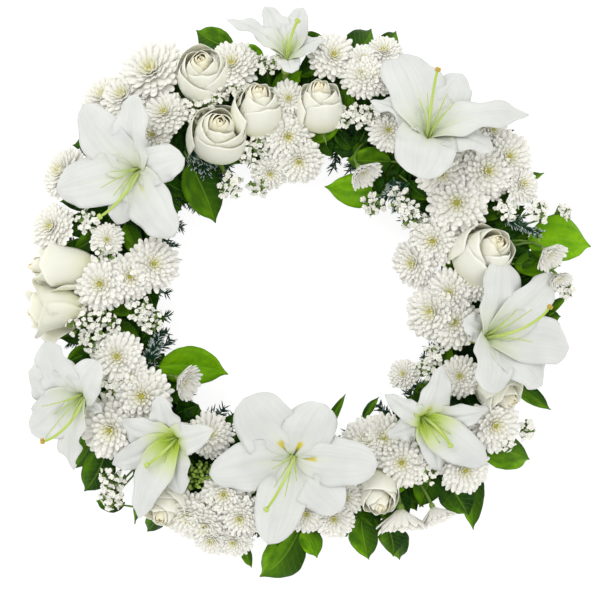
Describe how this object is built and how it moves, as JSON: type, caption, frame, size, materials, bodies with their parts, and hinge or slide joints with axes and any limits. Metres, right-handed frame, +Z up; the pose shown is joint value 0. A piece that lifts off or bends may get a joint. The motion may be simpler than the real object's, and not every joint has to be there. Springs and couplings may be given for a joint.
{
  "type": "funeral wreath",
  "caption": "Round funeral wreath of white lilies, ivory roses, spray chrysanthemums and statice on a foam ring in a flat tray, open in the middle.",
  "frame": {"origin": "the middle of the wreath's footprint box, on the flat underside of the tray that it lies on", "axes": "+Z up out of the wreath's face, +Y towards the top of the wreath as it is hung or shown, +X to its right"},
  "size_m": [0.6112, 0.616, 0.1594],
  "materials": {
    "tray": "moulded, dark green, slightly satin",
    "foam": "wet floral foam, open and matt",
    "lily": "waxy white tepals with green throats",
    "rose": "velvety ivory petals, creamier in the heart",
    "chrysanthemum": "white ray florets round a yellow-green eye",
    "statice": "dry papery white florets on green stems",
    "salal": "leathery glossy leaves, bright to dark green",
    "ruscus": "narrow satin dark green leaves",
    "fir": "blue-green needles with frosted tips"
  },
  "bodies": {
    "root": {"base_tray": "tray", "foam_ring": "foam", "lily_01": "lily", "lily_02": "lily", "lily_03": "lily", "lily_04": "lily", "lily_05": "lily", "lily_06": "lily", "lily_07": "lily", "lily_08": "lily", "rose_01": "rose", "rose_02": "rose", "rose_03": "rose", "rose_04": "rose", "rose_05": "rose", "rose_06": "rose", "rose_07": "rose", "rose_08": "rose", "rose_09": "rose", "rose_10": "rose", "chrysanthemum_spray_01": "chrysanthemum", "chrysanthemum_spray_02": "chrysanthemum", "chrysanthemum_spray_03": "chrysanthemum", "chrysanthemum_spray_04": "chrysanthemum", "chrysanthemum_spray_05": "chrysanthemum", "chrysanthemum_spray_06": "chrysanthemum", "chrysanthemum_spray_07": "chrysanthemum", "chrysanthemum_spray_08": "chrysanthemum", "chrysanthemum_spray_09": "chrysanthemum", "chrysanthemum_spray_10": "chrysanthemum", "chrysanthemum_spray_11": "chrysanthemum", "chrysanthemum_spray_12": "chrysanthemum", "chrysanthemum_spray_13": "chrysanthemum", "chrysanthemum_spray_14": "chrysanthemum", "chrysanthemum_spray_15": "chrysanthemum", "chrysanthemum_spray_16": "chrysanthemum", "chrysanthemum_spray_17": "chrysanthemum", "chrysanthemum_spray_18": "chrysanthemum", "statice_sprig_01": "statice", "statice_sprig_02": "statice", "statice_sprig_03": "statice", "statice_sprig_04": "statice", "statice_sprig_05": "statice", "statice_sprig_06": "statice", "statice_sprig_07": "statice", "statice_sprig_08": "statice", "salal_sprig_01": "salal", "salal_sprig_02": "salal", "salal_sprig_03": "salal", "salal_sprig_04": "salal", "salal_sprig_05": "salal", "salal_sprig_06": "salal", "salal_sprig_07": "salal", "salal_sprig_08": "salal", "salal_sprig_09": "salal", "salal_sprig_10": "salal", "ruscus_stem_01": "ruscus", "ruscus_stem_02": "ruscus", "fir_sprig_01": "fir", "fir_sprig_02": "fir"}
  },
  "joints": []
}
